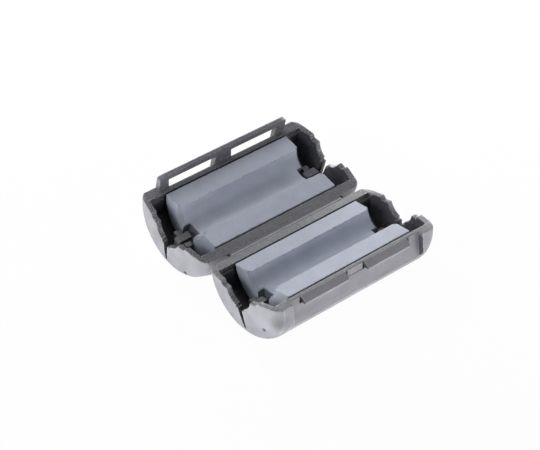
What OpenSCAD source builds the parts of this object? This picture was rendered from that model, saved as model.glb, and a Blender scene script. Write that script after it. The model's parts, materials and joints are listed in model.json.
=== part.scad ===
// Clip-on ferrite bead, lying open on its two round backs.
// Two ferrite half cores sit in a moulded case whose halves share a thin web hinge.
// X runs along the hinge, the latch half lies at +Y, the catch half at -Y, and the floor is z = 0.
//
// Each half is drawn about its own bore axis: y is across the half, with the hinge at -y and
// the latch side at +y, and z = 0 is the parting plane, so everything moulded lies below it.

/* [Cores] */
// Length of each half core
core_len = 28; // [22:0.5:36]
// Outside diameter of the two cores closed together
core_d = 14.5; // [12:0.1:18]
// Diameter of the cable channel through the cores
channel_d = 6.8; // [5:0.1:8.2]
// Chamfer round each mouth of the channel
channel_chamfer = 0.5; // [0.2:0.1:0.8]
// Distance of a core's flat faces below the parting plane
core_drop = 0.1; // [0.05:0.05:0.2]
// Width of the notch in each end of a core
notch_w = 3; // [2.6:0.1:3.6]
// Length of the notch along the core
notch_len = 1.5; // [1.2:0.1:2]
// Depth of the notch below the channel's floor
notch_h = 1.7; // [1.5:0.1:1.9]

/* [Case walls] */
// Thickness of the round wall
wall = 1.3; // [1:0.1:1.8]
// Thickness of the domed end walls on the bore axis
end_wall = 1.1; // [0.8:0.1:1.6]
// Length between a core's end and the end wall, on the bore axis
end_space = 4.3; // [4:0.1:6]
// Width of the rim beside a core
rim_w = 2; // [1.8:0.1:2.6]
// Distance of the rims below the parting plane
rim_drop = 0.1; // [0.05:0.05:0.2]
// Height of the flat side walls below the parting plane
skirt_h = 4.2; // [3.4:0.1:5]
// Angle of the round wall that the slope under a side wall takes up
skirt_slope = 12; // [9:1:16]
// Radius of the upright corners of the side walls
skirt_round = 2; // [1:0.1:2.6]
// Crown radius of the domed ends
crown_r = 35; // [28:1:60]
// Radius of the edge between a domed end and the round wall
end_round = 2.5; // [2:0.1:3.5]

/* [Core seats] */
// Gap beside a core in its pocket
core_side_gap = 0.4; // [0.2:0.05:0.6]
// Gap under a core where it lies in its cradle ribs
core_seat_gap = 0.15; // [0.1:0.05:0.25]
// Gap past each end of a core before its stops
core_end_gap = 0.4; // [0.2:0.05:0.6]
// Height of the cradle ribs from the pocket's floor to a core's seat
rib_h = 1.3; // [0.9:0.1:2]
// Thickness of each cradle rib
rib_t = 1; // [0.8:0.1:1.6]
// Number of cradle ribs under each core
rib_count = 4; // [2:1:6]
// Width of the ledge in each corner of the pocket
ledge_w = 0.45; // [0.3:0.05:0.8]
// Depth of that ledge below the parting plane
ledge_drop = 1; // [0.8:0.1:1.6]

/* [Core keepers] */
// Width of each keeper, the hook that holds a core down by its notch
keeper_w = 1.5; // [1.2:0.1:2.2]
// Thickness of a keeper's arm and post
keeper_t = 0.85; // [0.7:0.05:0.9]
// Depth of a keeper's top below the channel's floor
keeper_drop = 0.55; // [0.4:0.05:0.6]
// Length of arm that reaches into the notch
keeper_reach = 0.6; // [0.4:0.1:0.9]
// Gap between a core's end and the keeper's post
keeper_gap = 1.7; // [1.4:0.1:2]
// Chamfer on the edges of a keeper
keeper_chamfer = 0.3; // [0.1:0.1:0.4]
// Width of the two stops beside each keeper
stop_w = 1.1; // [0.8:0.1:1.5]
// Gap between a stop and its keeper
stop_gap = 0.3; // [0.2:0.05:0.4]
// Step from a keeper's top down to the tops of its stops
stop_drop = 0.4; // [0.2:0.1:0.8]

/* [Cable ends] */
// Diameter of the cable hole through each end wall
hole_d = 6.5; // [5:0.1:7.4]
// Depth of the shallow notches beside the cable hole, below the parting plane
tier_drop = 0.75; // [0.5:0.05:1.2]
// Distance from the bore axis to the outer end of each shallow notch
tier_y = 4.9; // [4.3:0.1:5.6]
// Width of the gap between the two teeth at the bottom of the hole
tooth_gap = 2.3; // [1.8:0.1:2.8]
// Depth of that gap below the hole's lowest point
tooth_h = 0.3; // [0.2:0.05:0.6]
// Width of the tapered slit under the hole, at its top
slit_w = 1.2; // [0.8:0.1:1.6]
// Width of the slit at its foot
slit_foot = 0.4; // [0.3:0.1:0.6]
// Depth of the slit below the parting plane
slit_h = 8; // [7:0.1:9]

/* [Latch] */
// Length of the latch frame
frame_len = 29.4; // [27.5:0.1:29.8]
// Height of the latch frame above the parting plane
frame_h = 3.05; // [2.7:0.05:3.6]
// Thickness of the latch frame
frame_t = 1; // [0.8:0.05:1.2]
// Radius along the frame's outer top edge
frame_round = 0.4; // [0.2:0.05:0.45]
// Length of the slope at each top corner of the frame
frame_slope = 1.3; // [0.8:0.1:1.5]
// Length from one window's outer end to the other's
windows_len = 25.2; // [24:0.1:25.8]
// Width of the web between the two windows at its top
window_web = 3.5; // [2.8:0.1:4.4]
// Slope of each window's ends, from the parting plane to its top
window_lean = 0.25; // [0.1:0.05:0.4]
// Height of the tops of the windows above the parting plane
window_h = 1.7; // [1.5:0.05:2]
// Gap between the latch frame and the face that it slides down
frame_gap = 0.2; // [0.15:0.05:0.3]
// Gap between the frame and each end of its recess
recess_gap = 0.2; // [0.15:0.05:0.5]
// Depth of the catches from that face to their edge
catch_t = 1; // [0.7:0.05:1.1]
// Play of the latch bars over the catches
latch_play = 0.1; // [0.05:0.05:0.2]
// Distance from the parting plane to the top of a catch's slope
catch_drop = 0.15; // [0.15:0.05:0.4]
// Height of the upright land at the edge of a catch
catch_land = 0.35; // [0.2:0.05:0.5]
// Gap between a catch and each end of its window
catch_gap = 0.2; // [0.15:0.05:0.4]
// Width of the relief slot at each end of a catch
slot_w = 0.45; // [0.3:0.05:0.6]
// Depth of the relief slots into the wall
slot_depth = 0.5; // [0.2:0.05:0.6]

/* [Hinge] */
// Gap between the two halves at the hinge
hinge_gap = 0.9; // [0.7:0.05:1.4]
// Length of the hinge web
hinge_len = 26.4; // [20:0.2:28]
// Thickness of the hinge web
hinge_t = 0.35; // [0.25:0.05:0.5]
// Angle between the two halves as they lie open
open_angle = 159.2; // [150:0.2:170]

/* [Colours] */
// Colour of the latch half
latch_colour = "dimgray";
// Colour of the catch half
catch_colour = "gray";
// Colour of the cores
core_colour = "lightslategray";

/* [Hidden] */
$fn = 64;
embed = 0.3;                    // how far what stands in the pocket runs into its wall
cut = 1;                        // how far a cut runs past what it cuts

// Radii and half widths about the bore axis
core_r = core_d / 2;
channel_r = channel_d / 2;
hole_r = hole_d / 2;
pocket_r = core_r + core_seat_gap + rib_h;
case_r = pocket_r + wall;
pocket_y = core_r + core_side_gap;
side_y = pocket_y + rim_w;

// Lengths from the middle of the case
core_x = core_len / 2;
case_x = core_x + end_space + end_wall;
stop_x = core_x + core_end_gap;
post_x = core_x + keeper_gap;
round_x = crown_x(crown_r, case_r - end_round, end_round);

// Heights of what stands under the bore axis
keeper_z = -channel_r - keeper_drop;
stop_z = keeper_z - stop_drop;
rib_z = -pocket_r * 0.4;

// Latch: the frame is flush with its side wall and slides down a recess in the other half
frame_y = side_y - frame_t;
recess_y = frame_y - frame_gap;
recess_x = frame_len / 2 + recess_gap;
catch_z = -window_h + latch_play;
window_x = [window_web / 2, windows_len / 2];
catch_x = [window_x[0] + window_lean + catch_gap, window_x[1] - window_lean - catch_gap];

// Placing of the halves: each leans up from the hinge and rests on its round back
tilt = (180 - open_angle) / 2;
bore_y = side_y + hinge_gap / 2;
hinge_z = case_r - bore_y * sin(tilt);

// Distance along X at which a crown of radius r, rounded by f, starts its rounding at height y
function crown_x(r, y, f) = case_x - crown_r + sqrt((r - f) * (r - f) - y * y);

// A point of a leaning half, y from the hinge axis and z from the parting plane
function lean(y, z) = [y * cos(tilt) - z * sin(tilt), y * sin(tilt) + z * cos(tilt)];

// ---- placing ----

module latch_side() {
    translate([0, 0, hinge_z]) rotate([tilt, 0, 0]) translate([0, bore_y, 0]) children();
}

module catch_side() {
    mirror([0, 1, 0]) latch_side() children();
}

module both_ends() {
    children();
    mirror([1, 0, 0]) children();
}

module both_sides() {
    children();
    mirror([0, 1, 0]) children();
}

// An outline in X and Z, drawn across the half from y0 to y1
module across(y0, y1) {
    translate([0, y1, 0]) rotate([90, 0, 0]) linear_extrude(height = y1 - y0) children();
}

// An outline in Y and Z, drawn along the half from x0 to x1
module along(x0, x1) {
    translate([x0, 0, 0]) rotate([90, 0, 90]) linear_extrude(height = x1 - x0) children();
}

// ---- case form ----

// Quarter outline of a crowned barrel: radius across, half length upward
module barrel_quarter(r, crown, edge) {
    middle = case_x - crown_r;
    edge_r = r - edge;
    edge_x = crown_x(crown, edge_r, edge);
    reach = crown / (crown - edge);
    join_r = edge_r * reach;
    join_x = middle + (edge_x - middle) * reach;
    polygon([[0, 0], [r, 0], [r, edge_x], [edge_r, edge_x], [join_r, join_x], [0, join_x]]);
    intersection() {
        translate([0, middle]) circle(crown);
        translate([0, edge_x]) square([join_r, crown]);
    }
    intersection() {
        translate([edge_r, edge_x]) circle(edge);
        translate([edge_r, edge_x]) square([edge, edge]);
    }
}

// A barrel about the bore axis with crowned ends and rounded edges
module barrel(r, crown, edge) {
    rotate([0, 90, 0]) rotate_extrude($fn = 128) {
        barrel_quarter(r, crown, edge);
        mirror([0, 1]) barrel_quarter(r, crown, edge);
    }
}

// The flat side walls, with a slope below that runs back into the round wall
module side_walls() {
    foot = atan2(skirt_h, side_y) + skirt_slope;
    foot_r = case_r - 0.1;
    foot_y = foot_r * cos(foot);
    foot_z = -foot_r * sin(foot);
    half_len = round_x + 0.6;
    intersection() {
        along(-half_len, half_len) polygon([
            [-side_y, 0], [-side_y, -skirt_h], [-foot_y, foot_z],
            [foot_y, foot_z], [side_y, -skirt_h], [side_y, 0]]);
        translate([0, 0, -case_r]) linear_extrude(height = 2 * case_r)
            rounded_plan(half_len, side_y, skirt_round);
    }
}

// A rectangle about the origin with true round corners
module rounded_plan(half_x, half_y, r) {
    square([2 * half_x, 2 * (half_y - r)], center = true);
    square([2 * (half_x - r), 2 * half_y], center = true);
    for (x = [-1, 1], y = [-1, 1]) translate([x * (half_x - r), y * (half_y - r)]) circle(r);
}

// One half of the case as a solid, cut off at its rim
module half_form() {
    intersection() {
        union() {
            intersection() {
                barrel(case_r, crown_r, end_round);
                cube([3 * case_x, 2 * side_y, 3 * case_r], center = true);
            }
            side_walls();
        }
        translate([0, 0, -rim_drop - case_r])
            cube([3 * case_x, 3 * case_r, 2 * case_r], center = true);
    }
}

// The pocket that a core lies in, grown by a margin
module pocket_form(margin = 0) {
    intersection() {
        barrel(pocket_r + margin, crown_r - end_wall + margin, end_round - wall + margin);
        cube([3 * case_x, 2 * (pocket_y + margin), 3 * case_r], center = true);
    }
}

// Half-round cable hole with its teeth, shallow notches and slit, as an outline in Y and Z
module cable_opening() {
    gap_h = hole_r + tooth_h;
    circle(hole_r);
    translate([-tooth_gap / 2, -gap_h]) square([tooth_gap, gap_h]);
    polygon([
        [-tier_y, cut], [-tier_y, -rim_drop], [-tier_y + tier_drop / 2, -tier_drop],
        [tier_y - tier_drop / 2, -tier_drop], [tier_y, -rim_drop], [tier_y, cut]]);
    polygon([
        [-slit_w / 2, -hole_r], [-slit_foot / 2, -slit_h],
        [slit_foot / 2, -slit_h], [slit_w / 2, -hole_r]]);
}

// ---- what stands in the pocket ----

// Ribs across the pocket, hollowed to a core's round back
module cradle_ribs() {
    pitch = core_len / rib_count;
    difference() {
        for (i = [0 : rib_count - 1])
            translate([-core_x + (i + 0.5) * pitch, 0, rib_z - case_r / 2])
                cube([rib_t, 3 * case_r, case_r], center = true);
        rotate([0, 90, 0])
            cylinder(r = core_r + core_seat_gap, h = core_len + cut, center = true);
    }
}

// A hook on a post: its arm reaches over the floor of the core's notch
module keeper() {
    tip_x = core_x - keeper_reach;
    back_x = post_x + keeper_t;
    c = keeper_chamfer;
    across(-keeper_w / 2, keeper_w / 2) polygon([
        [tip_x, keeper_z - keeper_t], [tip_x, keeper_z - c], [tip_x + c, keeper_z],
        [back_x - c, keeper_z], [back_x, keeper_z - c], [back_x, -case_r],
        [post_x, -case_r], [post_x, keeper_z - keeper_t - c], [post_x - c, keeper_z - keeper_t]]);
}

// Blocks beside a keeper that stop the core from sliding along the pocket
module stops() {
    both_sides() translate([stop_x, keeper_w / 2 + stop_gap, -case_r])
        cube([post_x - stop_x, stop_w, case_r + stop_z]);
}

// Ledges in the corners past a core's end
module corner_ledges() {
    both_sides() translate([stop_x, pocket_y - ledge_w, -case_r])
        cube([end_space, case_r, case_r - ledge_drop]);
}

module pocket_fittings() {
    intersection() {
        union() {
            cradle_ribs();
            both_ends() {
                keeper();
                stops();
                corner_ledges();
            }
        }
        pocket_form(embed);
    }
}

// One moulded half without its latch or catch
module half_shell() {
    difference() {
        half_form();
        pocket_form();
        both_ends() along(post_x + keeper_t + embed, case_x + cut) cable_opening();
    }
    pocket_fittings();
}

// ---- latch and catches ----

// Outlines in X and Z of the two windows, which run on down the side wall below them, as a
// mould that only opens up and down leaves them
module window_outlines() {
    inner = window_x[0] + window_lean;
    outer = window_x[1] - window_lean;
    for (side = [0, 1]) mirror([side, 0]) polygon([
        [inner, -case_r], [outer, -case_r], [outer, 0],
        [window_x[1], window_h], [window_x[0], window_h], [inner, 0]]);
}

// The frame that stands on the latch half, with a window on each side of a web
module latch_frame() {
    half_len = frame_len / 2;
    root_z = -rim_drop - embed;
    intersection() {
        along(-half_len, half_len) union() {
            translate([frame_y, root_z]) square([frame_t - frame_round, frame_h - root_z]);
            translate([frame_y, root_z]) square([frame_t, frame_h - frame_round - root_z]);
            translate([side_y - frame_round, frame_h - frame_round]) circle(frame_round);
        }
        across(frame_y - cut, side_y + cut) difference() {
            polygon([
                [-half_len, root_z], [half_len, root_z], [half_len, frame_h - frame_round],
                [half_len - frame_slope, frame_h], [frame_slope - half_len, frame_h],
                [-half_len, frame_h - frame_round]]);
            window_outlines();
        }
    }
}

// One sloped catch, as wide as its window less a gap at each end
module catch_wedge() {
    edge_y = recess_y + catch_t;
    along(catch_x[0], catch_x[1]) polygon([
        [recess_y - embed, -catch_drop], [recess_y, -catch_drop], [edge_y, catch_z + catch_land],
        [edge_y, catch_z], [recess_y - embed, catch_z]]);
}

// Recess that the latch frame slides down, with the relief slots round the catches
module latch_recess() {
    translate([-recess_x, recess_y, -2 * case_r]) cube([2 * recess_x, case_r, 3 * case_r]);
    both_ends() for (x = [catch_x[0] - slot_w, catch_x[1]])
        translate([x, recess_y - slot_depth, catch_z])
            cube([slot_w, slot_depth + cut, -catch_z - 2 * catch_drop]);
    translate([-catch_x[0], recess_y - slot_depth, catch_z])
        cube([2 * catch_x[0], slot_depth + cut, catch_drop]);
}

// ---- nodes ----

module latch_shell() {
    color(latch_colour) latch_side() {
        difference() {
            half_shell();
            across(frame_y, case_r) window_outlines();
        }
        latch_frame();
    }
}

module catch_shell() {
    color(catch_colour) catch_side() {
        difference() {
            half_shell();
            latch_recess();
        }
        both_ends() catch_wedge();
    }
}

// Thin web that bridges the gap, folded along the hinge axis
module living_hinge() {
    edge = hinge_gap / 2;
    top = -rim_drop;
    base = top - hinge_t;
    fold_top = top / cos(tilt);
    fold_base = base / cos(tilt);
    near_top = lean(edge, top);
    near_base = lean(edge, base);
    color(catch_colour) translate([0, 0, hinge_z]) along(-hinge_len / 2, hinge_len / 2)
        polygon([
            [0, fold_top], near_top, near_base,
            [0, fold_base], [-near_base[0], near_base[1]], [-near_top[0], near_top[1]]]);
}

// Half core: a half cylinder with the cable channel and a keeper notch in each end
module half_core() {
    difference() {
        rotate([0, 90, 0]) cylinder(r = core_r, h = core_len, center = true, $fn = 96);
        translate([0, 0, core_r - core_drop])
            cube([core_len + cut, core_d + cut, core_d], center = true);
        rotate([0, 90, 0]) cylinder(r = channel_r, h = core_len + cut, center = true);
        both_ends() translate([core_x - channel_chamfer, 0, 0]) rotate([0, 90, 0])
            cylinder(r1 = channel_r, r2 = channel_r + 2 * channel_chamfer, h = 2 * channel_chamfer);
        both_ends() translate([core_x - notch_len, -notch_w / 2, -channel_r - notch_h])
            cube([notch_len + cut, notch_w, channel_r + notch_h]);
    }
}

module front_core() {
    color(core_colour) catch_side() half_core();
}

module rear_core() {
    color(core_colour) latch_side() half_core();
}

catch_shell();
latch_shell();
living_hinge();
front_core();
rear_core();
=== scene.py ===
import json
import math

import bmesh
import bpy
from bpy.props import FloatProperty, PointerProperty, StringProperty
from mathutils import Matrix, Vector


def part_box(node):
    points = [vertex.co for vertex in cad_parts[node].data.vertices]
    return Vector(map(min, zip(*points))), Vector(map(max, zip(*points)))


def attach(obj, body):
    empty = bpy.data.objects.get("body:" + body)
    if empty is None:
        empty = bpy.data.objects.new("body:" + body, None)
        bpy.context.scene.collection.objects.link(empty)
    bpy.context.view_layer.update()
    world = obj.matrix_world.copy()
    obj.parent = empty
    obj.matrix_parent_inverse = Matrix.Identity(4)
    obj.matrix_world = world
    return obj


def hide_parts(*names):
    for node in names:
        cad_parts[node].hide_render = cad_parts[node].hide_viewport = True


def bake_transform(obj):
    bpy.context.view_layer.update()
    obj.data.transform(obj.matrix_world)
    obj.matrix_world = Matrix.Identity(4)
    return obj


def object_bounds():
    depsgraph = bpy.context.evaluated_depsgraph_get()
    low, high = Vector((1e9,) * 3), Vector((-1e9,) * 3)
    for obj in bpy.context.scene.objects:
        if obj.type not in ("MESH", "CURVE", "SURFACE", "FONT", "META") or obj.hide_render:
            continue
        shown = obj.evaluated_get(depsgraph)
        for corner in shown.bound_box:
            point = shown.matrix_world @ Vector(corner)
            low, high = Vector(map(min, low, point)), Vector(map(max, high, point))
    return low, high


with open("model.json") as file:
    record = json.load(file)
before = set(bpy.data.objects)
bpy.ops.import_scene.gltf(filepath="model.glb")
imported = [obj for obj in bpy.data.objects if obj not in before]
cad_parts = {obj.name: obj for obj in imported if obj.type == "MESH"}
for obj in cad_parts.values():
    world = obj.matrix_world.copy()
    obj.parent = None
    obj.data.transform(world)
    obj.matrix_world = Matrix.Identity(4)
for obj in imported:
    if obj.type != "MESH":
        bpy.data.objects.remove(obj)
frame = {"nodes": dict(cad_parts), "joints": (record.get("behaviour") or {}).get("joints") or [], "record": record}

bl_info = {
    "name": "Clip-on ferrite bead",
    "version": (1, 0, 0),
    "blender": (4, 5, 0),
    "location": "3D View > Sidebar > Ferrite Bead",
    "description": "Finishes the case, cores and web hinge of an open clip-on ferrite bead",
    "category": "Object",
}

MM = 0.001
WHITE = (1, 1, 1, 1)
NYLON_IOR = 1.53
FERRITE_IOR = 1.6

# In a carried-over mesh, corners that are closer than this are one corner, and an edge whose faces
# turn by more than this is rounded
WELD_GAP = 0.001 * MM
KEEN_ANGLE = math.radians(42)

# The case as it lies open. Each half leans up from the hinge line, and its own frame has
# x along the hinge, y away from the hinge and z up from its parting plane.
HINGE = Vector(frame["joints"][0]["pos_m"])
OPEN_ANGLE = frame["joints"][0]["range_deg"][1]
LEAN = math.radians((180 - OPEN_ANGLE) / 2)
MOUNTS = {m["name"]: m for m in frame["record"]["mounts"]}
BORE_AXIS = Vector(MOUNTS["rear_channel"]["pos_m"])
BORE_Y = math.hypot(BORE_AXIS.y - HINGE.y, BORE_AXIS.z - HINGE.z)
CASE_LOW, CASE_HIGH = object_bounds()

# Where the camera stands, seen from the hinge, how far it is turned and moved in its own frame,
# and the millimetres of its lens and sensor
CAMERA_AZIMUTH = math.radians(-40.96)
CAMERA_ELEVATION = math.radians(40.85)
CAMERA_ROLL = math.radians(2.19)
CAMERA_DISTANCE = 327.62 * MM
CAMERA_LEFT = 2.94 * MM
CAMERA_UP = 0.04 * MM
CAMERA_LENS = 121.7
CAMERA_SENSOR = 36


def half_frame(side):
    """From the own frame of a half to the row frame. side is 1 for the latch half and -1 for the
    catch half."""
    mirrored = Matrix.Scale(side, 4, (0, 1, 0))
    return Matrix.Translation(HINGE) @ mirrored @ Matrix.Rotation(LEAN, 4, "X")


# ---- settings ----


class BeadCaseSettings(bpy.types.PropertyGroup):
    """The moulded case."""

    colour: StringProperty(
        name="Colour", description="Colour of the moulding", default="#545459")
    edge_radius: FloatProperty(
        name="Edge radius", description="Radius that the mould leaves on the edges of the case",
        default=0.10 * MM, min=0.02 * MM, max=0.3 * MM, unit="LENGTH", precision=5)
    grain: FloatProperty(
        name="Grain", description="Grain size of the eroded mould surface",
        default=0.30 * MM, min=0.05 * MM, max=0.5 * MM, unit="LENGTH", precision=5)
    # Painted light: the outside is painted paler than the rims, standing in for the light that the table throws on
    # the walls
    outside_painted_light: FloatProperty(
        name="Bloom", description="How much paler the eroded outside is than the polished rims",
        default=0.48, min=0, max=1, subtype="FACTOR")
    # The edges are painted paler, partly as wear and partly as a painted highlight on their small rounds
    wear_and_highlight: FloatProperty(
        name="Wear", description="How much paler the rubbed edges are",
        default=1.3, min=0, max=2, subtype="FACTOR")
    gate_radius: FloatProperty(
        name="Gate radius", description="Radius of the trimmed gate on the end of each half",
        default=0.35 * MM, min=0.2 * MM, max=0.8 * MM, unit="LENGTH", precision=5)


class BeadCoreSettings(bpy.types.PropertyGroup):
    """The two ferrite half cores."""

    colour: StringProperty(
        name="Colour", description="Colour of the sintered ferrite", default="#a2a8b6")
    edge_radius: FloatProperty(
        name="Edge radius", description="Radius that tumbling leaves on the edges of a core",
        default=0.08 * MM, min=0.02 * MM, max=0.4 * MM, unit="LENGTH", precision=5)


class BeadHingeSettings(bpy.types.PropertyGroup):
    """The thin web that joins the two halves."""

    width: FloatProperty(
        name="Width", description="Width of the web, from rim to rim",
        default=0.90 * MM, min=0.5 * MM, max=1.5 * MM, unit="LENGTH", precision=5)
    thickness: FloatProperty(
        name="Thickness", description="Thickness of the web beside its fold",
        default=0.35 * MM, min=0.2 * MM, max=0.5 * MM, unit="LENGTH", precision=5)
    sink: FloatProperty(
        name="Sink", description="Depth of the web below the rims",
        default=0.10 * MM, min=0, max=0.3 * MM, unit="LENGTH", precision=5)
    pit_radius: FloatProperty(
        name="Pit radius", description="Radius of the relief pit at each end of the fold",
        default=0.33 * MM, min=0.1 * MM, max=0.38 * MM, unit="LENGTH", precision=5)


class BeadStageSettings(bpy.types.PropertyGroup):
    """The floor and the white room round it."""

    floor_colour: StringProperty(
        name="Floor", description="Colour of the floor", default="#f2f2f2")
    floor_light: FloatProperty(
        name="Floor light", description="Light that the table gives, where 1 is white",
        default=4.0, min=0, max=6)
    floor_white: FloatProperty(
        name="Floor white", description="Share of plain white in what the table shows",
        default=0.96, min=0, max=1, subtype="FACTOR")
    room_light: FloatProperty(
        name="Room light", description="Light that the white room gives, where 1 is white",
        default=0.05, min=0, max=1)


# ---- small tools ----


def linear(code):
    """An sRGB hex colour as linear RGBA."""
    parts = [int(code[i:i + 2], 16) / 255 for i in (1, 3, 5)]
    return [c / 12.92 if c <= 0.04045 else ((c + 0.055) / 1.055) ** 2.4 for c in parts] + [1]


def add_node(tree, kind, inputs=None, **settings):
    """Adds a node, sets it, and gives its inputs their values or links."""
    node = tree.nodes.new("ShaderNode" + kind)
    for name, value in settings.items():
        setattr(node, name, value)
    for name, value in (inputs or {}).items():
        if isinstance(value, bpy.types.NodeSocket):
            tree.links.new(value, node.inputs[name])
        else:
            node.inputs[name].default_value = value
    return node


def new_material(name):
    """An empty material with its output node."""
    material = bpy.data.materials.new(name)
    material.use_nodes = True
    tree = material.node_tree
    tree.nodes.clear()
    return material, tree, add_node(tree, "OutputMaterial")


def dress(piece, material):
    """Gives a piece one material on every slot."""
    if not piece.data.materials:
        piece.data.materials.append(material)
    for slot in piece.material_slots:
        slot.material = material


def select_only(piece):
    """Selects one piece, and makes it the one that operators act on."""
    bpy.ops.object.select_all(action="DESELECT")
    piece.select_set(True)
    bpy.context.view_layer.objects.active = piece


def soften_edges(piece, radius, segments, left_sharp=lambda middle: False):
    """Rounds the edges of a carried-over node with modifiers, which leave its mesh as it is.

    left_sharp picks out edges that stay as they are, by their middle, where the faces beside
    them are too narrow to round.
    """
    def ends(a, b):
        return frozenset(tuple(round(c / (2 * WELD_GAP)) for c in co) for co in (a, b))

    # The node's faces are loose, so its edges are told from a joined copy
    joined = bmesh.new()
    joined.from_mesh(piece.data)
    bmesh.ops.remove_doubles(joined, verts=joined.verts, dist=WELD_GAP)
    keen = {
        ends(edge.verts[0].co, edge.verts[1].co) for edge in joined.edges
        if len(edge.link_faces) == 2 and edge.calc_face_angle() > KEEN_ANGLE
        and not left_sharp((edge.verts[0].co + edge.verts[1].co) / 2)}
    joined.free()
    points = [point.co for point in piece.data.vertices]
    weights = piece.data.attributes.new("bevel_weight_edge", "FLOAT", "EDGE")
    weights.data.foreach_set("value", [
        1.0 if ends(points[edge.vertices[0]], points[edge.vertices[1]]) in keen else 0.0
        for edge in piece.data.edges])

    weld = piece.modifiers.new("weld", "WELD")
    weld.merge_threshold = WELD_GAP
    edges = piece.modifiers.new("edges", "BEVEL")
    edges.width = radius
    edges.segments = segments
    edges.limit_method = "WEIGHT"
    edges.use_clamp_overlap = False
    # The broad faces keep the shading flat up to the rounded edges
    shade = piece.modifiers.new("shade", "WEIGHTED_NORMAL")
    shade.weight = 80
    for face in piece.data.polygons:
        face.use_smooth = True


def start_piece(context, name):
    """Names the primitive just added, and opens it in edit mode with everything selected."""
    piece = context.active_object
    piece.name = name
    bpy.ops.object.mode_set(mode="EDIT")
    bpy.ops.mesh.select_all(action="SELECT")
    return piece


def select_faces(piece, wanted):
    """Selects the faces whose normal passes a test, in the piece's own coordinates."""
    mesh = bmesh.from_edit_mesh(piece.data)
    bpy.ops.mesh.select_mode(type="FACE")
    bpy.ops.mesh.select_all(action="DESELECT")
    for face in mesh.faces:
        face.select_set(wanted(face.normal))
    bmesh.update_edit_mesh(piece.data)


def select_points(piece, wanted):
    """Selects the vertices whose place passes a test, in the piece's own coordinates."""
    mesh = bmesh.from_edit_mesh(piece.data)
    bpy.ops.mesh.select_mode(type="VERT")
    bpy.ops.mesh.select_all(action="DESELECT")
    for point in mesh.verts:
        point.select_set(wanted(point.co))
    mesh.select_flush(True)
    bmesh.update_edit_mesh(piece.data)


def close_piece(piece, smooth_angle):
    """Merges doubles, turns the faces outwards, leaves edit mode, shades it and applies its
    place."""
    bpy.ops.mesh.select_all(action="SELECT")
    bpy.ops.mesh.remove_doubles(threshold=0.002 * MM)
    bpy.ops.mesh.normals_make_consistent(inside=False)
    bpy.ops.object.mode_set(mode="OBJECT")
    select_only(piece)
    bpy.ops.object.shade_smooth_by_angle(angle=math.radians(smooth_angle))
    bpy.ops.object.transform_apply(location=True, rotation=True, scale=True)


# ---- materials ----


def own_frame(tree):
    """Where a point lies and which way it faces in the own frame of its half, with both halves and
    both ends folded onto one: x along the bore axis, y from that axis and away from the hinge, and
    z up from the parting plane."""
    given = add_node(tree, "TexCoord")
    folded = add_node(tree, "VectorMath", {0: given.outputs["Object"]}, operation="ABSOLUTE")
    sign = add_node(tree, "VectorMath", {0: given.outputs["Object"]}, operation="SIGN")
    turned = add_node(
        tree, "VectorMath", {0: given.outputs["Normal"], 1: sign.outputs[0]}, operation="MULTIPLY")
    place = add_node(tree, "Mapping", {
        "Vector": folded.outputs[0], "Rotation": (-LEAN, 0, 0),
        "Location": -(Matrix.Rotation(-LEAN, 3, "X") @ BORE_AXIS)})
    facing = add_node(tree, "Mapping", {
        "Vector": turned.outputs[0], "Rotation": (-LEAN, 0, 0)}, vector_type="VECTOR")
    return place.outputs[0], facing.outputs[0]


def edge_share(tree, radius):
    """1 at edges and 0 on open faces, by how far a rounded normal turns from the true one."""
    here = add_node(tree, "NewGeometry")
    rounded = add_node(tree, "Bevel", {"Radius": radius}, samples=6)
    match = add_node(
        tree, "VectorMath", {0: rounded.outputs[0], 1: here.outputs["Normal"]},
        operation="DOT_PRODUCT")
    return add_node(tree, "MapRange", {
        "Value": match.outputs["Value"], "From Min": 0.995, "From Max": 0.93}).outputs["Result"]


def layered(tree, *layers):
    """The product of layers. A layer is a value, the two ends of the span that counts, and the
    factors at those ends. A mask is a value from 0 to 1, so its factors are those without it and
    with it."""
    total = 1.0
    for value, start, end, low, high in layers:
        factor = add_node(tree, "MapRange", {
            "Value": value, "From Min": start, "From Max": end, "To Min": low, "To Max": high})
        product = add_node(
            tree, "Math", {0: total, 1: factor.outputs["Result"]}, operation="MULTIPLY")
        total = product.outputs[0]
    return total


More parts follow.
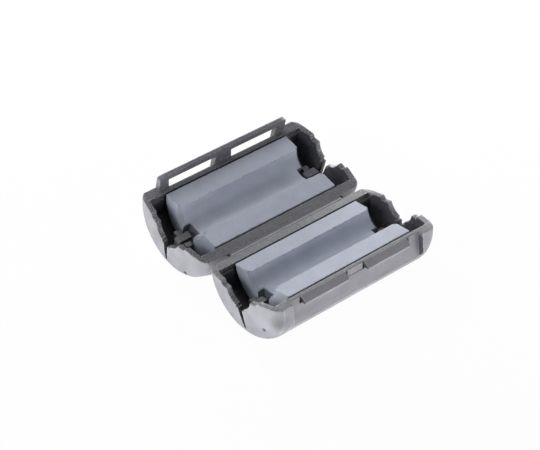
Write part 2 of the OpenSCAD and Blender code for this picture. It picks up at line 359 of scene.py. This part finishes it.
def moulded_nylon(settings):
    """Nylon, injection moulded in a spark-eroded tool: a chalky, finely pitted outside painted paler than
    the smooth rims as painted light, pockets and slits painted darker as painted shade, slow
    cloudiness where the melt flowed, and edges painted paler, partly as wear from handling and partly as a painted
    highlight."""
    material, tree, out = new_material("moulded_nylon")
    given = add_node(tree, "TexCoord").outputs["Object"]
    place, facing = own_frame(tree)
    split = add_node(tree, "SeparateXYZ", {0: place}).outputs
    aside = add_node(tree, "Math", {0: split["Y"]}, operation="ABSOLUTE").outputs[0]

    # 1 on faces that look away from the core, 0 on the rims and -1 on faces that look at the core
    across = add_node(tree, "VectorMath", {0: place, 1: (0, 1, 1)}, operation="MULTIPLY")
    spoke = add_node(tree, "VectorMath", {0: across.outputs[0]}, operation="NORMALIZE")
    beside = add_node(
        tree, "VectorMath", {0: facing, 1: spoke.outputs[0]}, operation="DOT_PRODUCT")
    lengthwise = add_node(tree, "SeparateXYZ", {0: facing}).outputs["X"]
    dome = CASE_HIGH.x - 1.4 * MM
    at_end = layered(tree, (split["X"], dome - 0.2 * MM, dome + 0.2 * MM, 0, 1))
    domed = add_node(tree, "Math", {0: lengthwise, 1: at_end}, operation="MULTIPLY")
    away = add_node(
        tree, "Math", {0: beside.outputs["Value"], 1: domed.outputs[0]},
        operation="MAXIMUM").outputs[0]
    outside = layered(tree, (away, 0.25, 0.68, 0, 1))

    # Painted shade: the pockets are painted darker as far up as their corner ledges, apart from the keepers in
    # their middle, and darker again below the ledges
    ledge, keeper_side, end_wall = -0.85 * MM, 2.55 * MM, 17.35 * MM
    walled = layered(tree, (away, -0.15, -0.6, 0, 1))
    sunk = layered(
        tree, (split["Z"], ledge + 0.1 * MM, ledge - 0.1 * MM, 0, 1),
        (split["X"], end_wall + 0.15 * MM, end_wall - 0.15 * MM, 0, 1),
        (aside, keeper_side - 0.15 * MM, keeper_side + 0.15 * MM, 0, 1), (outside, 0, 1, 1, 0))
    pocket_end = 16.3 * MM
    ended = layered(
        tree, (lengthwise, -0.3, -0.7, 0, 1),
        (split["X"], pocket_end - 0.3 * MM, pocket_end + 0.3 * MM, 0, 1))
    lined = add_node(tree, "Math", {0: walled, 1: ended}, operation="MAXIMUM").outputs[0]
    pocket_shade = add_node(tree, "Math", {0: lined, 1: sunk}, operation="MAXIMUM").outputs[0]

    # Thin blades in the mould form the slits in the end walls; their insides are painted dark, as painted shade
    slit_side, slit_top, slit_start = 0.67 * MM, -3.5 * MM, CASE_HIGH.x - 1.75 * MM
    slit = layered(
        tree, (aside, slit_side - 0.05 * MM, slit_side + 0.05 * MM, 1, 0),
        (split["X"], slit_start - 0.15 * MM, slit_start + 0.15 * MM, 0, 1),
        (split["Z"], slit_top + 0.1 * MM, slit_top - 0.1 * MM, 0, 1), (outside, 0, 1, 1, 0))

    # The slide that moulds the catches leaves a fine line on the outer wall at both its ends
    slide_end, slide_side = CASE_HIGH.x - 2.35 * MM, CASE_LOW.y + 2.2 * MM
    off = add_node(tree, "Math", {0: split["X"], 1: slide_end}, operation="SUBTRACT")
    apart = add_node(tree, "Math", {0: off.outputs[0]}, operation="ABSOLUTE").outputs[0]
    catch_side = add_node(tree, "SeparateXYZ", {0: given}).outputs["Y"]
    witness = layered(
        tree, (apart, 0.06 * MM, 0.16 * MM, 1, 0), (outside, 0, 1, 0, 1),
        (catch_side, slide_side - 0.4 * MM, slide_side + 0.4 * MM, 1, 0))

    # Painted shade: a soft dark patch, about 3 mm across, on one outer corner of the catch half
    corner_shade_place = half_frame(-1) @ Vector((-17.7 * MM, BORE_Y + 9.2 * MM, -3.2 * MM))
    corner_shade = add_node(
        tree, "VectorMath", {0: given, 1: corner_shade_place}, operation="DISTANCE").outputs["Value"]

    # Clouds of about 3 mm, drawn out along the case, as the melt ran from the gate
    drawn = add_node(tree, "Mapping", {"Vector": given, "Scale": (0.45, 1, 1)})
    cloud = add_node(tree, "TexNoise", {
        "Vector": drawn.outputs[0], "Scale": 1 / (3 * MM), "Detail": 4,
        "Roughness": 0.55}).outputs["Fac"]
    grain = add_node(tree, "TexNoise", {
        "Vector": given, "Scale": 1 / settings.grain, "Detail": 2,
        "Roughness": 0.6}).outputs["Fac"]
    # Patches polished by fingers, about 5 mm across
    patch = add_node(tree, "TexNoise", {
        "Vector": given, "Scale": 1 / (5 * MM), "Detail": 2, "Roughness": 0.7,
        "Distortion": 0.6}).outputs["Fac"]
    # The high spots of the rims were rubbed bright, so the rims are speckled more than the outside
    dark_spot = layered(tree, (outside, 0, 1, 0.64, 0.92))
    light_spot = layered(tree, (outside, 0, 1, 1.50, 1.08))
    # Round the cable mouths the edge is scuffed into dark pits and pale flecks
    mouth_edge = 16.8 * MM
    scuffed = layered(
        tree, (split["X"], mouth_edge - 0.4 * MM, mouth_edge + 0.4 * MM, 0, 1),
        (pocket_shade, 0, 1, 1, 0), (outside, 0, 1, 1, 0))
    pits = layered(tree, (scuffed, 0, 1, 0, 1), (grain, 0.32, 0.50, 1, 0))
    flecks = layered(tree, (scuffed, 0, 1, 0, 1), (grain, 0.50, 0.68, 0, 1))
    # Edges painted paler: partly wear from handling, partly a painted highlight on the rounded edges
    rubbed_and_highlit = layered(
        tree, (edge_share(tree, 0.22 * MM), 0, 1, 0, 1), (grain, 0.35, 0.6, 0.2, 1.0),
        (pocket_shade, 0, 1, 1, 0))

    # Painted light and shade are in these layers: the paler outside is painted light, the pockets, slits and
    # corner patch are painted shade, and the paler edges are partly painted highlight
    amount = layered(
        tree, (outside, 0, 1, 1, 1 + settings.outside_painted_light), (pocket_shade, 0, 1, 1, 0.76),
        (sunk, 0, 1, 1, 0.62), (slit, 0, 1, 1, 0.25), (witness, 0, 1, 1, 1.3),
        (cloud, 0.3, 0.7, 0.86, 1.14), (grain, 0.32, 0.68, dark_spot, light_spot),
        (patch, 0.35, 0.65, 0.95, 1.07), (corner_shade, 0.7 * MM, 2.4 * MM, 0.60, 1.0),
        (pits, 0, 1, 1, 0.66), (flecks, 0, 1, 1, 1.4), (rubbed_and_highlit, 0, 1, 1, 1 + settings.wear_and_highlight))
    pale = add_node(
        tree, "VectorMath", {0: linear(settings.colour)[:3], "Scale": amount}, operation="SCALE")

    pitting = layered(tree, (outside, 0, 1, 0.12, 0.45))
    pitted = add_node(tree, "Bump", {
        "Strength": pitting, "Distance": 0.03 * MM, "Height": grain})
    # A shallow ring, 1.5 mm across, where a pin of the mould met the catch half's outer wall
    ring_radius = 0.74 * MM
    pin_place = half_frame(-1) @ Vector((0.2 * MM, BORE_Y + 8.45 * MM, -3 * MM))
    pin = add_node(tree, "VectorMath", {0: given, 1: pin_place}, operation="DISTANCE")
    ring = add_node(tree, "MapRange", {
        "Value": pin.outputs["Value"], "From Min": ring_radius - 0.06 * MM,
        "From Max": ring_radius + 0.06 * MM}, interpolation_type="SMOOTHSTEP")
    dinted = add_node(tree, "Bump", {
        "Strength": 0.8, "Distance": 0.03 * MM, "Height": ring.outputs["Result"],
        "Normal": pitted.outputs[0]})
    shader = add_node(tree, "BsdfPrincipled", {
        "Base Color": pale.outputs[0], "IOR": NYLON_IOR, "Specular IOR Level": 0.4,
        "Roughness": layered(tree, (outside, 0, 1, 0.42, 0.58), (cloud, 0.3, 0.7, 0.92, 1.12)),
        "Normal": dinted.outputs[0]})
    tree.links.new(shader.outputs["BSDF"], out.inputs["Surface"])
    return material


def creased_nylon(case, hinge, pit_place):
    """The same nylon in a strip that has been folded again and again: stretched white along the
    crease, with fine cracks across it."""
    material, tree, out = new_material("creased_nylon")
    # The map is in millimetres along and across the web, so the crease bends with the web, and
    # the places and sizes that are compared with it are in millimetres too
    given = add_node(tree, "UVMap", uv_map="web_millimetres").outputs["UV"]
    across = add_node(tree, "SeparateXYZ", {0: given}).outputs["Y"]
    # The crease lies beside the fold, on the catch half's side
    crease_side, pit = 0.26, hinge.pit_radius / MM
    off = add_node(tree, "Math", {0: across, 1: crease_side}, operation="ADD")
    beside = add_node(tree, "Math", {0: off.outputs[0]}, operation="ABSOLUTE").outputs[0]
    broken = add_node(tree, "TexNoise", {
        "Vector": given, "Scale": 1 / 1.1, "Detail": 3, "Roughness": 0.7}).outputs["Fac"]
    crease = layered(tree, (beside, 0.10, 0.22, 1, 0), (broken, 0.35, 0.6, 0.45, 1.0))
    # The pits at both ends are painted near black, as painted shade
    mirrored = add_node(tree, "VectorMath", {0: given}, operation="ABSOLUTE")
    away = add_node(
        tree, "VectorMath", {0: mirrored.outputs[0], 1: (pit_place / MM, 0, 0)},
        operation="DISTANCE")
    # The cracks are 0.2 mm apart along the web, and run about 1.25 mm across it
    stretched = add_node(tree, "Mapping", {"Vector": given, "Scale": (5.0, 0.8, 1)})
    crazed = add_node(tree, "TexNoise", {
        "Vector": stretched.outputs[0], "Scale": 1.0, "Detail": 2}).outputs["Fac"]
    amount = layered(
        tree, (crease, 0, 1, 1, 2.3), (crazed, 0.3, 0.7, 1.0, 1.36),
        (away.outputs["Value"], pit, pit * 1.25, 0.10, 1.0))
    pale = add_node(
        tree, "VectorMath", {0: linear(case.colour)[:3], "Scale": amount}, operation="SCALE")
    cracked = add_node(tree, "Bump", {"Strength": 0.3, "Distance": 0.02 * MM, "Height": crazed})
    shader = add_node(tree, "BsdfPrincipled", {
        "Base Color": pale.outputs[0], "IOR": NYLON_IOR, "Specular IOR Level": 0.4,
        "Roughness": layered(tree, (crease, 0, 1, 0.42, 0.65)), "Normal": cracked.outputs[0]})
    tree.links.new(shader.outputs["BSDF"], out.inputs["Surface"])
    return material


def torn_nylon(settings):
    """Nylon where the gate was twisted off: darker and glossy in the pit, with pale torn fibres on
    its lip."""
    material, tree, out = new_material("torn_nylon")
    given = add_node(tree, "TexCoord").outputs["Object"]
    # The torn fibres are about 0.08 mm thick
    fibre = add_node(tree, "TexNoise", {
        "Vector": given, "Scale": 1 / (0.08 * MM), "Detail": 2}).outputs["Fac"]
    amount = layered(
        tree, (fibre, 0.3, 0.7, 0.12, 0.28), (edge_share(tree, 0.06 * MM), 0, 1, 1, 1.3))
    pale = add_node(
        tree, "VectorMath", {0: linear(settings.colour)[:3], "Scale": amount}, operation="SCALE")
    torn = add_node(tree, "Bump", {"Strength": 0.6, "Distance": 0.03 * MM, "Height": fibre})
    shader = add_node(tree, "BsdfPrincipled", {
        "Base Color": pale.outputs[0], "Roughness": 0.35, "IOR": NYLON_IOR,
        "Normal": torn.outputs[0]})
    tree.links.new(shader.outputs["BSDF"], out.inputs["Surface"])
    return material


def sintered_ferrite(settings):
    """Manganese-zinc ferrite, pressed, sintered and ground on its mating faces: dull blue-grey
    stone with a fine speckle, faint grinding lines on the flats, notches and channel mouths painted
    darker as painted shade, and small chips along its edges."""
    material, tree, out = new_material("sintered_ferrite")
    given = add_node(tree, "TexCoord").outputs["Object"]
    place, facing = own_frame(tree)
    split = add_node(tree, "SeparateXYZ", {0: place}).outputs
    aside = add_node(tree, "Math", {0: split["Y"]}, operation="ABSOLUTE").outputs[0]
    # The ground flats face straight up from the parting plane
    level = add_node(tree, "SeparateXYZ", {0: facing}).outputs["Z"]
    ground = layered(tree, (level, 0.97, 0.995, 0, 1))
    # The notches for the keepers were pressed and never ground; they are painted dark, as painted shade
    notch_side, notch_start, notch_top = 1.53 * MM, 12.45 * MM, -3.2 * MM
    notch_shade = layered(
        tree, (aside, notch_side, notch_side + 0.05 * MM, 1, 0),
        (split["X"], notch_start - 0.07 * MM, notch_start, 0, 1),
        (split["Z"], notch_top, notch_top - 0.3 * MM, 0, 1))
    # The rounded mouths of the channel are painted darker, as painted shade
    mouth_radius, mouth_start = 3.90 * MM, 13.50 * MM
    across = add_node(tree, "VectorMath", {0: place, 1: (0, 1, 1)}, operation="MULTIPLY")
    radius = add_node(
        tree, "VectorMath", {0: across.outputs[0]}, operation="LENGTH").outputs["Value"]
    mouth_shade = layered(
        tree, (radius, mouth_radius, mouth_radius + 0.12 * MM, 1, 0),
        (split["X"], mouth_start - 0.12 * MM, mouth_start, 0, 1))

    cloud = add_node(tree, "TexNoise", {
        "Vector": given, "Scale": 1 / (3.5 * MM), "Detail": 4, "Roughness": 0.6}).outputs["Fac"]
    grit = add_node(tree, "TexNoise", {
        "Vector": given, "Scale": 1 / (0.24 * MM), "Detail": 3, "Roughness": 0.65}).outputs["Fac"]
    # Grinding lines along the core, drawn 0.3 mm apart, coarser than real ones, so that they show
    drawn = add_node(tree, "Mapping", {"Vector": given, "Scale": (0.02, 1, 0)})
    line = add_node(tree, "TexNoise", {
        "Vector": drawn.outputs[0], "Scale": 1 / (0.3 * MM), "Detail": 2,
        "Roughness": 0.5}).outputs["Fac"]
    lined = layered(tree, (ground, 0, 1, 0, 1), (line, 0, 1, 0, 1))
    # Chips about 1 mm long break the edges here and there
    chip = add_node(tree, "TexNoise", {
        "Vector": given, "Scale": 1 / (0.9 * MM), "Detail": 3, "Roughness": 0.6}).outputs["Fac"]
    chipped = layered(
        tree, (edge_share(tree, 0.40 * MM), 0.05, 0.3, 0, 1), (chip, 0.55, 0.58, 0, 1))

    amount = layered(
        tree, (ground, 0, 1, 1.14, 1.01), (notch_shade, 0, 1, 1, 0.30), (mouth_shade, 0, 1, 1, 0.66),
        (cloud, 0.3, 0.7, 0.92, 1.08), (grit, 0.3, 0.7, 0.93, 1.07), (lined, 0, 1, 0.96, 1.04),
        (chipped, 0, 1, 1, 0.55))
    tone = add_node(
        tree, "VectorMath", {0: linear(settings.colour)[:3], "Scale": amount}, operation="SCALE")
    rough = add_node(tree, "Bump", {"Strength": 0.35, "Distance": 0.02 * MM, "Height": grit})
    spalled = add_node(tree, "Bump", {
        "Strength": 0.7, "Distance": 0.06 * MM, "Height": chipped, "Normal": rough.outputs[0]},
        invert=True)
    shader = add_node(tree, "BsdfPrincipled", {
        "Base Color": tone.outputs[0], "IOR": FERRITE_IOR, "Specular IOR Level": 0.35,
        "Roughness": layered(tree, (ground, 0, 1, 0.78, 0.62)), "Normal": spalled.outputs[0]})
    tree.links.new(shader.outputs["BSDF"], out.inputs["Surface"])
    return material


def seen_white(tree):
    """1 for the rays that show a surface, in the open, in a reflection or through a clear piece,
    and 0 for the rays that carry light from it."""
    ray = add_node(tree, "LightPath").outputs
    shown = add_node(
        tree, "Math", {0: ray["Is Camera Ray"], 1: ray["Is Glossy Ray"]}, operation="MAXIMUM")
    both = add_node(
        tree, "Math", {0: shown.outputs[0], 1: ray["Is Transmission Ray"]}, operation="MAXIMUM")
    return both.outputs[0]


def light_table(settings):
    """White acrylic lit from below: it renders as the white background and keeps a trace of
    shadow."""
    material, tree, out = new_material("light_table")
    # The shadow shows in the small share of unlit sheet that the camera sees
    sheet = add_node(tree, "BsdfDiffuse", {"Color": linear(settings.floor_colour)})
    white = add_node(tree, "Emission", {"Color": WHITE, "Strength": 1.0})
    plain = add_node(
        tree, "MixShader", {0: settings.floor_white, 1: sheet.outputs[0], 2: white.outputs[0]})
    lit = add_node(tree, "Emission", {"Color": WHITE, "Strength": settings.floor_light})
    both = add_node(
        tree, "MixShader", {0: seen_white(tree), 1: lit.outputs[0], 2: plain.outputs[0]})
    tree.links.new(both.outputs[0], out.inputs["Surface"])
    return material


# ---- pieces ----


class BEAD_OT_finish_case(bpy.types.Operator):
    """Rounds the edges of both case halves and gives them their moulded finish"""

    bl_idname = "bead.finish_case"
    bl_label = "Finish Case"

    def execute(self, context):
        settings = context.scene.bead_case
        finish = moulded_nylon(settings)
        for name, side in (("catch_shell", -1), ("latch_shell", 1)):
            shell = frame["nodes"][name]
            dress(shell, finish)
            to_half = half_frame(side).inverted()

            def too_thin(middle):
                """Whether an edge, in millimetres from the bore axis, is on the lip where a side
                flat runs out into a shoulder, or at a slit's foot."""
                x, y, z = (to_half @ middle) / MM
                along, aside = abs(x), abs(y - BORE_Y / MM)
                # The lip runs in towards the bore as the shoulder rounds the end
                lip_side = 9.2 - 1.25 * (along - 15)
                on_lip = 14.5 < along < 17.3 and aside > lip_side and -5.9 < z < -3.9
                at_slit_foot = along > 16 and aside < 0.5 and z < -7.8
                return on_lip or at_slit_foot

            soften_edges(shell, settings.edge_radius, 2, too_thin)
        return {"FINISHED"}


class BEAD_OT_finish_cores(bpy.types.Operator):
    """Rounds the edges of both half cores and gives them their ferrite finish"""

    bl_idname = "bead.finish_cores"
    bl_label = "Finish Cores"

    def execute(self, context):
        settings = context.scene.bead_core
        finish = sintered_ferrite(settings)
        for name in ("front_core", "rear_core"):
            dress(frame["nodes"][name], finish)
            soften_edges(frame["nodes"][name], settings.edge_radius, 3)
        return {"FINISHED"}


class BEAD_OT_mould_hinge_web(bpy.types.Operator):
    """Moulds the thin web between the halves, with a pit at each end of its fold"""

    bl_idname = "bead.mould_hinge_web"
    bl_label = "Mould Hinge Web"

    def execute(self, context):
        settings = context.scene.bead_hinge
        half_width = settings.width / 2
        # The strip ends in the middle of its bosses, just inside the ends of the CAD strip
        strip_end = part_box("living_hinge")[1].x - 0.1 * MM
        bead_rise = 0.02 * MM
        waist = 0.10 * MM

        # The web starts as a flat strip of narrow rows, folded up on both sides of the hinge line
        bpy.ops.object.select_all(action="DESELECT")
        bpy.ops.mesh.primitive_grid_add(
            x_subdivisions=24, y_subdivisions=12, size=1, location=HINGE)
        web = start_piece(context, "hinge_web")
        bpy.ops.transform.resize(value=(2 * strip_end, settings.width, 1))
        bpy.ops.transform.translate(value=(0, 0, -settings.sink))
        for side in (1, -1):
            select_points(web, lambda co: co.y * side > 0.01 * MM)
            bpy.ops.transform.rotate(
                value=-side * LEAN, orient_axis="X", center_override=HINGE)
        # A low bead runs beside the fold, where the stretched skin has risen
        select_points(web, lambda co: -0.40 * MM < co.y < -0.18 * MM)
        bpy.ops.transform.translate(value=(0, 0, bead_rise))
        select_faces(web, lambda normal: True)
        bpy.ops.mesh.extrude_region_move(
            TRANSFORM_OT_translate={"value": (0, 0, -settings.thickness)})
        # The underside is waisted at the fold, so that the web bends there first
        middle = -settings.sink - settings.thickness / 2
        select_points(web, lambda co: abs(co.y) < 0.1 * MM and co.z < middle)
        bpy.ops.transform.translate(value=(0, 0, waist))
        close_piece(web, 40)

        # Each end closes in a round boss with a blind relief pit
        depth = settings.thickness + 0.25 * MM
        top = 0.04 * MM - settings.sink
        pit_floor = 0.06 * MM
        for end in (1, -1):
            bpy.ops.object.select_all(action="DESELECT")
            bpy.ops.mesh.primitive_cylinder_add(
                vertices=32, radius=half_width, depth=depth,
                location=HINGE + Vector((end * strip_end, 0, top - depth / 2)))
            boss = start_piece(context, "relief_boss")
            select_faces(boss, lambda normal: normal.z > 0.9)
            bpy.ops.mesh.inset(thickness=half_width - settings.pit_radius)
            bpy.ops.mesh.extrude_region_move(
                TRANSFORM_OT_translate={"value": (0, 0, pit_floor - depth)})
            bpy.ops.transform.resize(value=(0.8, 0.8, 1))
            select_points(boss, lambda co: co.z > depth / 2 - 0.01 * MM)
            bpy.ops.mesh.bevel(offset=0.04 * MM, segments=2, affect="EDGES")
            close_piece(boss, 40)
            web.select_set(True)
            context.view_layer.objects.active = web
            bpy.ops.object.join()

        chart = web.data.uv_layers.new(name="web_millimetres")
        for corner in web.data.loops:
            co = web.data.vertices[corner.vertex_index].co
            chart.data[corner.index].uv = (co.x / MM, co.y / MM)
        dress(web, creased_nylon(context.scene.bead_case, settings, strip_end))
        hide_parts("living_hinge")
        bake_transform(web)
        return {"FINISHED"}


class BEAD_OT_trim_gates(bpy.types.Operator):
    """Leaves the trimmed stub of the gate on one end of each half"""

    bl_idname = "bead.trim_gates"
    bl_label = "Trim Gates"

    def execute(self, context):
        settings = context.scene.bead_case
        radius = settings.gate_radius
        height = 0.2 * MM
        pit_depth = 0.10 * MM
        nub_height = 0.08 * MM
        sunk = 0.04 * MM
        finish = torn_nylon(settings)

        # The gate is a low ring with a torn nub standing in its pit
        bpy.ops.object.select_all(action="DESELECT")
        bpy.ops.mesh.primitive_cylinder_add(vertices=24, radius=radius, depth=height)
        first = start_piece(context, "catch_gate")
        select_faces(first, lambda normal: normal.z > 0.9)
        bpy.ops.mesh.inset(thickness=0.28 * radius)
        bpy.ops.mesh.extrude_region_move(TRANSFORM_OT_translate={"value": (0, 0, -pit_depth)})
        bpy.ops.mesh.inset(thickness=0.30 * radius)
        bpy.ops.mesh.extrude_region_move(
            TRANSFORM_OT_translate={"value": (0.03 * MM, 0, nub_height)})
        bpy.ops.transform.resize(value=(0.55, 0.8, 1))
        select_points(first, lambda co: co.z > height / 2 - 0.01 * MM)
        bpy.ops.mesh.bevel(offset=0.03 * MM, segments=2, affect="EDGES")
        close_piece(first, 35)
        bpy.ops.object.duplicate(linked=False)
        second = context.active_object
        second.name = "latch_gate"

        for gate, shell, body, side, y, z in (
                (first, "catch_shell", "catch_half", -1, 5.5 * MM, -5.5 * MM),
                (second, "latch_shell", "latch_half", 1, -5.3 * MM, -6.5 * MM)):
            # A ray from beyond the end of the case finds the end wall that the gate stands on
            start = half_frame(side) @ Vector((2 * CASE_LOW.x, BORE_Y + y, z))
            found, place, normal, _ = frame["nodes"][shell].ray_cast(start, Vector((1, 0, 0)))
            if not found:
                raise RuntimeError("no end wall under the gate of " + shell)
            gate.location = place - sunk * normal
            gate.rotation_euler = normal.to_track_quat("Z", "Y").to_euler()
            select_only(gate)
            bpy.ops.object.transform_apply(location=True, rotation=True, scale=True)
            dress(gate, finish)
            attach(gate, body)
        return {"FINISHED"}


class BEAD_OT_set_stage(bpy.types.Operator):
    """Sets the floor, the lights, the white surroundings and the camera"""

    bl_idname = "bead.set_stage"
    bl_label = "Set Stage"

    def add_panel(self, context, name, place, wide, high, watts, faces=None):
        """A soft panel lamp that faces a direction, or the hinge where none is given."""
        bpy.ops.object.light_add(type="AREA", location=place)
        lamp = context.active_object
        lamp.name = name
        lamp.data.shape = "RECTANGLE"
        lamp.data.size = wide
        lamp.data.size_y = high
        lamp.data.energy = watts
        lamp.visible_camera = False
        away = Vector(place) - HINGE if faces is None else -Vector(faces)
        lamp.rotation_euler = away.to_track_quat("Z", "Y").to_euler()

    def add_camera(self, context):
        """The camera on its place over the hinge, at its roll."""
        back = Vector((
            math.sin(CAMERA_AZIMUTH) * math.cos(CAMERA_ELEVATION),
            -math.cos(CAMERA_AZIMUTH) * math.cos(CAMERA_ELEVATION),
            math.sin(CAMERA_ELEVATION)))
        right = Vector((math.cos(CAMERA_AZIMUTH), math.sin(CAMERA_AZIMUTH), 0))
        up = back.cross(right)
        turned_right = right * math.cos(CAMERA_ROLL) + up * math.sin(CAMERA_ROLL)
        turned_up = up * math.cos(CAMERA_ROLL) - right * math.sin(CAMERA_ROLL)
        bpy.ops.object.camera_add()
        camera = context.active_object
        camera.data.sensor_width = CAMERA_SENSOR
        camera.data.lens = CAMERA_LENS
        camera.data.clip_start = 10 * MM
        camera.matrix_world = Matrix((turned_right, turned_up, back)).transposed().to_4x4()
        camera.location = (
            HINGE + CAMERA_DISTANCE * back - CAMERA_LEFT * turned_right + CAMERA_UP * turned_up)
        return camera

    def execute(self, context):
        scene = context.scene
        settings = scene.bead_stage
        bpy.ops.object.select_all(action="DESELECT")
        bpy.ops.mesh.primitive_plane_add(size=2, location=(0, 0, CASE_LOW.z))
        floor = context.active_object
        floor.name = "studio_floor"
        dress(floor, light_table(settings))

        world = bpy.data.worlds.new("studio")
        world.use_nodes = True
        tree = world.node_tree
        tree.nodes.clear()
        room = add_node(tree, "Background", {"Color": WHITE, "Strength": settings.room_light})
        white = add_node(tree, "Background", {"Color": WHITE, "Strength": 1.0})
        both = add_node(
            tree, "MixShader", {0: seen_white(tree), 1: room.outputs[0], 2: white.outputs[0]})
        add_node(tree, "OutputWorld", {"Surface": both.outputs[0]})
        scene.world = world

        # The key lights the rims and cores from behind, the left panel the domed ends
        self.add_panel(
            context, "key_panel", (-0.0418, 0.2372, 0.3520), wide=0.25, high=0.25, watts=0.88)
        self.add_panel(
            context, "left_panel", (-0.3031, 0, 0.183), wide=0.20, high=0.10, watts=0.435)
        # Low light from behind and from the right, along the insides of the pockets
        self.add_panel(
            context, "back_panel", (0.0769, 0.2870, 0.0498), wide=0.35, high=0.06, watts=1.0)
        self.add_panel(
            context, "right_panel", (0.1330, 0.0620, 0.0392), wide=0.08, high=0.03, watts=0.065)
        self.add_panel(
            context, "front_panel", (0.2484, -0.2960, 0.1115), wide=0.25, high=0.08, watts=0.57)
        # The table glows more strongly in front of the walls that the camera sees
        self.add_panel(
            context, "left_table_panel", (-0.060, 0, 0.0006), wide=0.07, high=0.09, watts=0.045,
            faces=(0, 0, 1))
        self.add_panel(
            context, "front_table_panel", (0, -0.055, 0.0006), wide=0.09, high=0.05, watts=0.010,
            faces=(0, 0, 1))

        scene.camera = self.add_camera(context)
        scene.view_settings.view_transform = "Standard"
        return {"FINISHED"}


class BEAD_PT_panel(bpy.types.Panel):
    """Lists the steps that finish the bead"""

    bl_label = "Ferrite Bead"
    bl_idname = "BEAD_PT_panel"
    bl_space_type = "VIEW_3D"
    bl_region_type = "UI"
    bl_category = "Ferrite Bead"

    def draw(self, context):
        for key in GROUPS:
            group = getattr(context.scene, key)
            box = self.layout.box()
            for name in group.bl_rna.properties.keys():
                if name not in ("rna_type", "name"):
                    box.prop(group, name)
        for step in STEPS:
            self.layout.operator(step.bl_idname)


STEPS = (
    BEAD_OT_finish_case, BEAD_OT_finish_cores, BEAD_OT_mould_hinge_web, BEAD_OT_trim_gates,
    BEAD_OT_set_stage)
GROUPS = {
    "bead_case": BeadCaseSettings,
    "bead_core": BeadCoreSettings,
    "bead_hinge": BeadHingeSettings,
    "bead_stage": BeadStageSettings,
}


def register():
    for item in (*GROUPS.values(), *STEPS, BEAD_PT_panel):
        bpy.utils.register_class(item)
    for name, group in GROUPS.items():
        setattr(bpy.types.Scene, name, PointerProperty(type=group))


def unregister():
    for name in GROUPS:
        delattr(bpy.types.Scene, name)
    for item in (BEAD_PT_panel, *STEPS, *GROUPS.values()):
        bpy.utils.unregister_class(item)


def main():
    register()
    bpy.ops.bead.finish_case()
    bpy.ops.bead.finish_cores()
    bpy.ops.bead.mould_hinge_web()
    bpy.ops.bead.trim_gates()
    bpy.ops.bead.set_stage()


if __name__ == "__main__":
    main()
